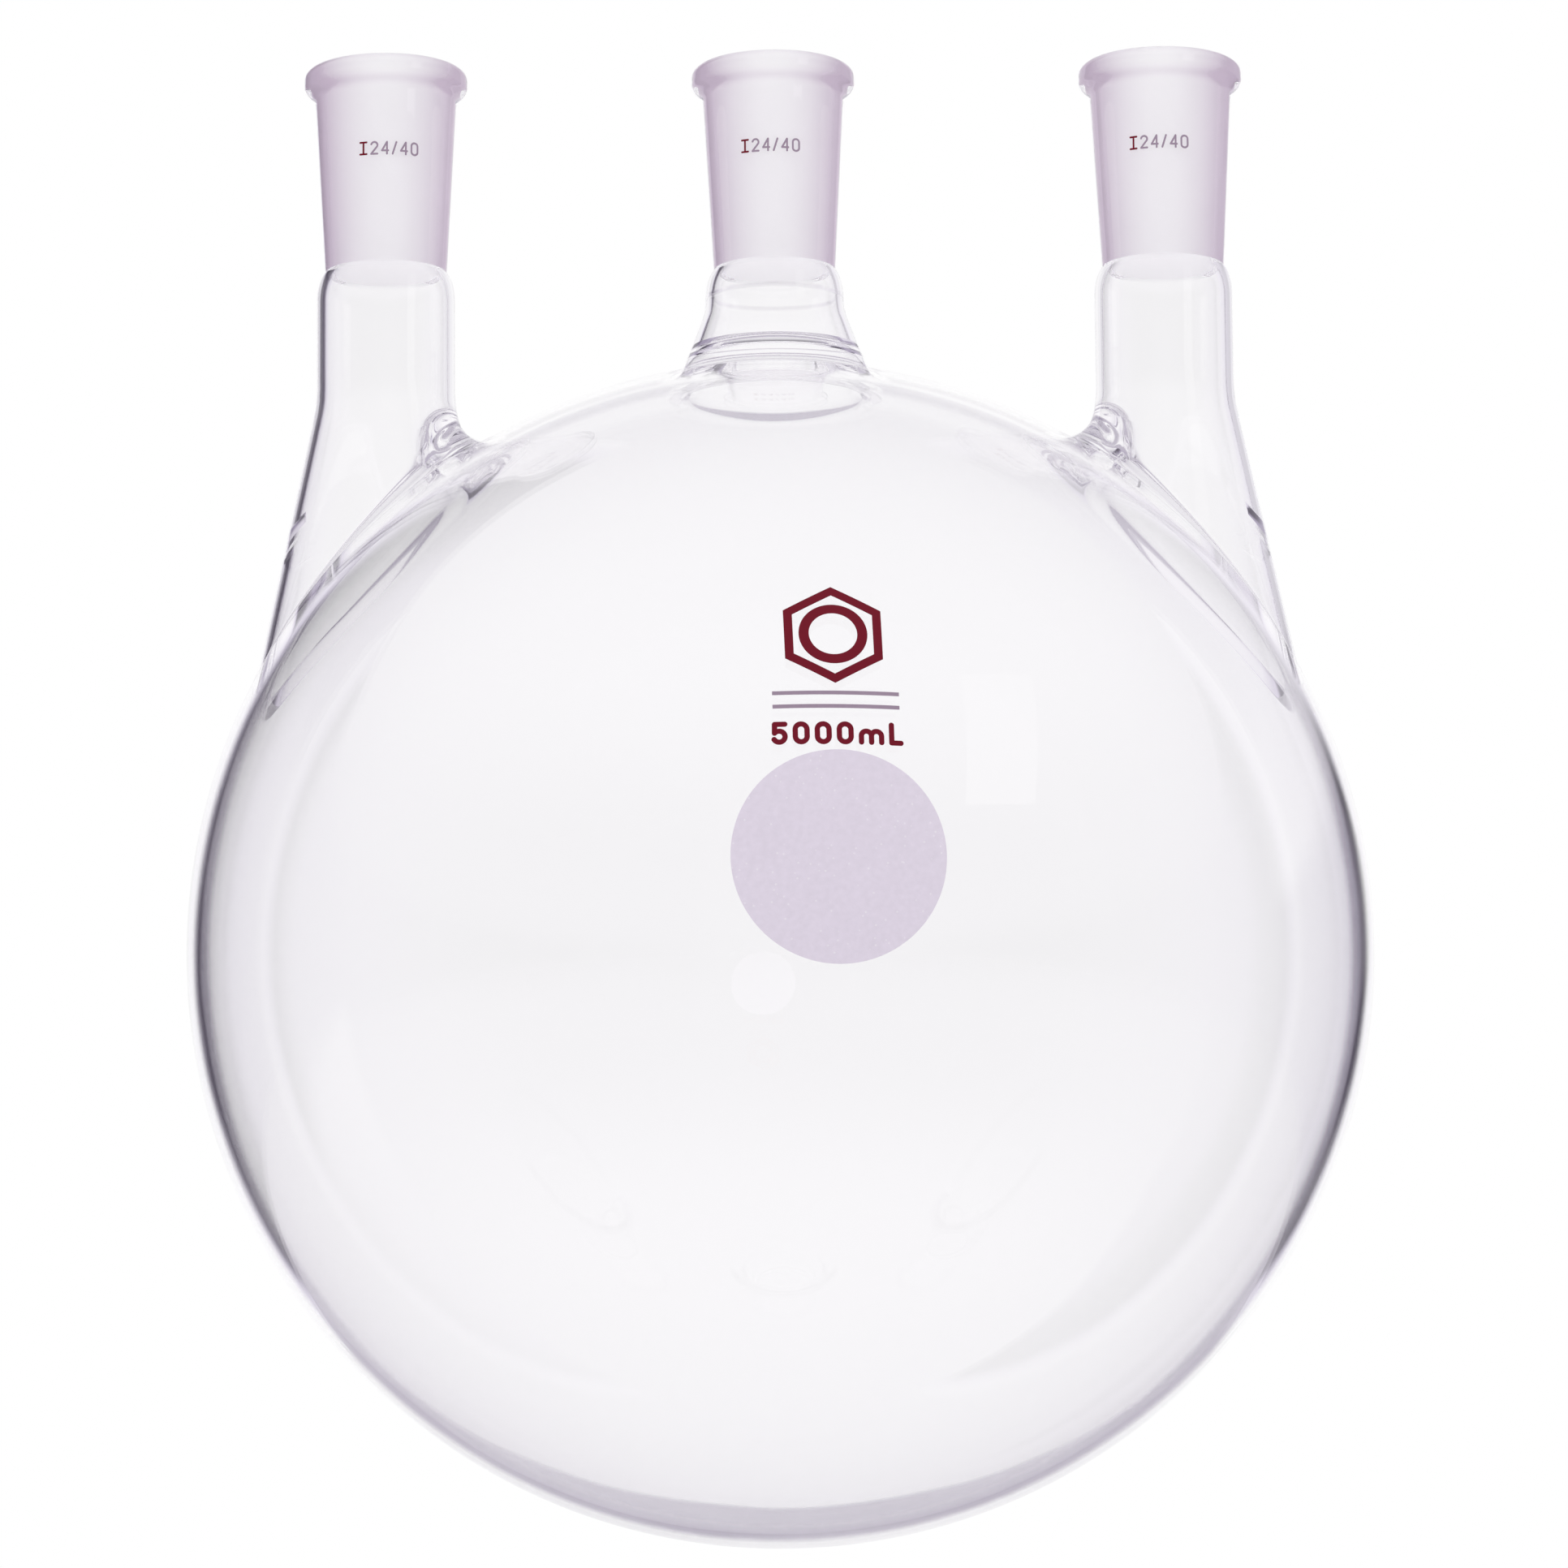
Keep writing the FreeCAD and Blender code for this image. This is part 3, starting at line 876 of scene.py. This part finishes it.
def mirrored_place(x, y):
    """Where a light stands whose image shows on the front of the bulb, at x and y times its radius."""
    facing = Vector((x, y, math.sqrt(1 - x * x - y * y)))
    return (2 * facing.z * facing - Vector((0, 0, 1))) * SOFTBOX_DISTANCE


def add_softbox(rig):
    """A pale softbox beside the camera, seen only as a faint upright rectangle mirrored in the glass."""
    half_width, half_height = SOFTBOX_IMAGE_SIZE[0] / 2, SOFTBOX_IMAGE_SIZE[1] / 2
    corners = [mirrored_place(SOFTBOX_IMAGE.x + x * half_width, SOFTBOX_IMAGE.y + y * half_height)
               for x, y in ((-1, -1), (1, -1), (1, 1), (-1, 1))]
    material, tree = new_tree("softbox")
    glow_output(tree, (*WHITE, 1), SOFTBOX_LIGHT)
    material.cycles.emission_sampling = "NONE"
    softbox = add_rig_plane(rig, "softbox", corners, material)
    softbox.visible_transmission = False


LENS_MM = 182.98
SENSOR_MM = 36
CAMERA_REACH = 20
CAMERA_DISTANCE = 1.5
CAMERA_ELEVATION = math.radians(-8.7)
CAMERA_ROLL = math.radians(0.5)
AIM_UP = math.radians(1.22)
AIM_RIGHT = math.radians(-0.036)


def add_camera():
    """A long lens that looks slightly up at the flask, from a little below the level of its bottom."""
    data = bpy.data.cameras.new("camera")
    data.sensor_width = SENSOR_MM
    data.lens = LENS_MM
    data.clip_end = CAMERA_REACH
    camera = bpy.data.objects.new("camera", data)
    bpy.context.scene.collection.objects.link(camera)
    back = Vector((0, -math.cos(CAMERA_ELEVATION), math.sin(CAMERA_ELEVATION)))
    aim = (-back).to_track_quat("-Z", "Y").to_matrix()
    turn = Matrix.Rotation(AIM_RIGHT, 3, "Y") @ Matrix.Rotation(AIM_UP, 3, "X")
    turn = turn @ Matrix.Rotation(-CAMERA_ROLL, 3, "Z")
    camera.location = BULB_CENTRE * MM + back * CAMERA_DISTANCE
    camera.rotation_euler = (aim @ turn).to_euler()
    bpy.context.scene.camera = camera


MAX_BOUNCES = 32
MAX_DIFFUSE_BOUNCES = 24


def let_light_through_glass():
    """Standard colours, and enough bounces for light to cross the walls of the bulb and the necks."""
    scene = bpy.context.scene
    scene.view_settings.view_transform = "Standard"
    scene.cycles.max_bounces = MAX_BOUNCES
    scene.cycles.transmission_bounces = MAX_BOUNCES
    scene.cycles.glossy_bounces = MAX_BOUNCES
    scene.cycles.transparent_max_bounces = MAX_BOUNCES
    scene.cycles.diffuse_bounces = MAX_DIFFUSE_BOUNCES
    scene.cycles.blur_glossy = 0.0


def add_glass(necks):
    materials = [clear_material(), ground_material(), seam_material()]
    make_piece("glass_bulb", bulb_draft(necks), materials, "bulb")
    for neck in necks:
        make_piece("glass_tube_" + neck.name, tube_draft(neck), materials,
                   neck.name + "_neck_tube")
        make_piece("glass_socket_" + neck.name, socket_draft(neck), materials,
                   neck.name + "_ground_socket")


def paint_marks(necks):
    red = enamel_material("red_enamel", RED)
    grey = enamel_material("grey_enamel", GREY)
    spot = enamel_material("spot_enamel", PALE_LILAC, SPOT_SPECKS)
    paint_node("marking_spot", spot)
    paint_node("emblem", red)
    paint_node("capacity_mark", red)
    paint_node("print_rules", grey)
    for neck in necks:
        paint_size_mark(neck.name + "_size_mark", grey, red)


def main():
    necks = [Neck(name) for name in NECKS]
    add_glass(necks)
    paint_marks(necks)
    add_floor()
    add_world()
    add_camera()
    add_light_rig()
    let_light_through_glass()


main()
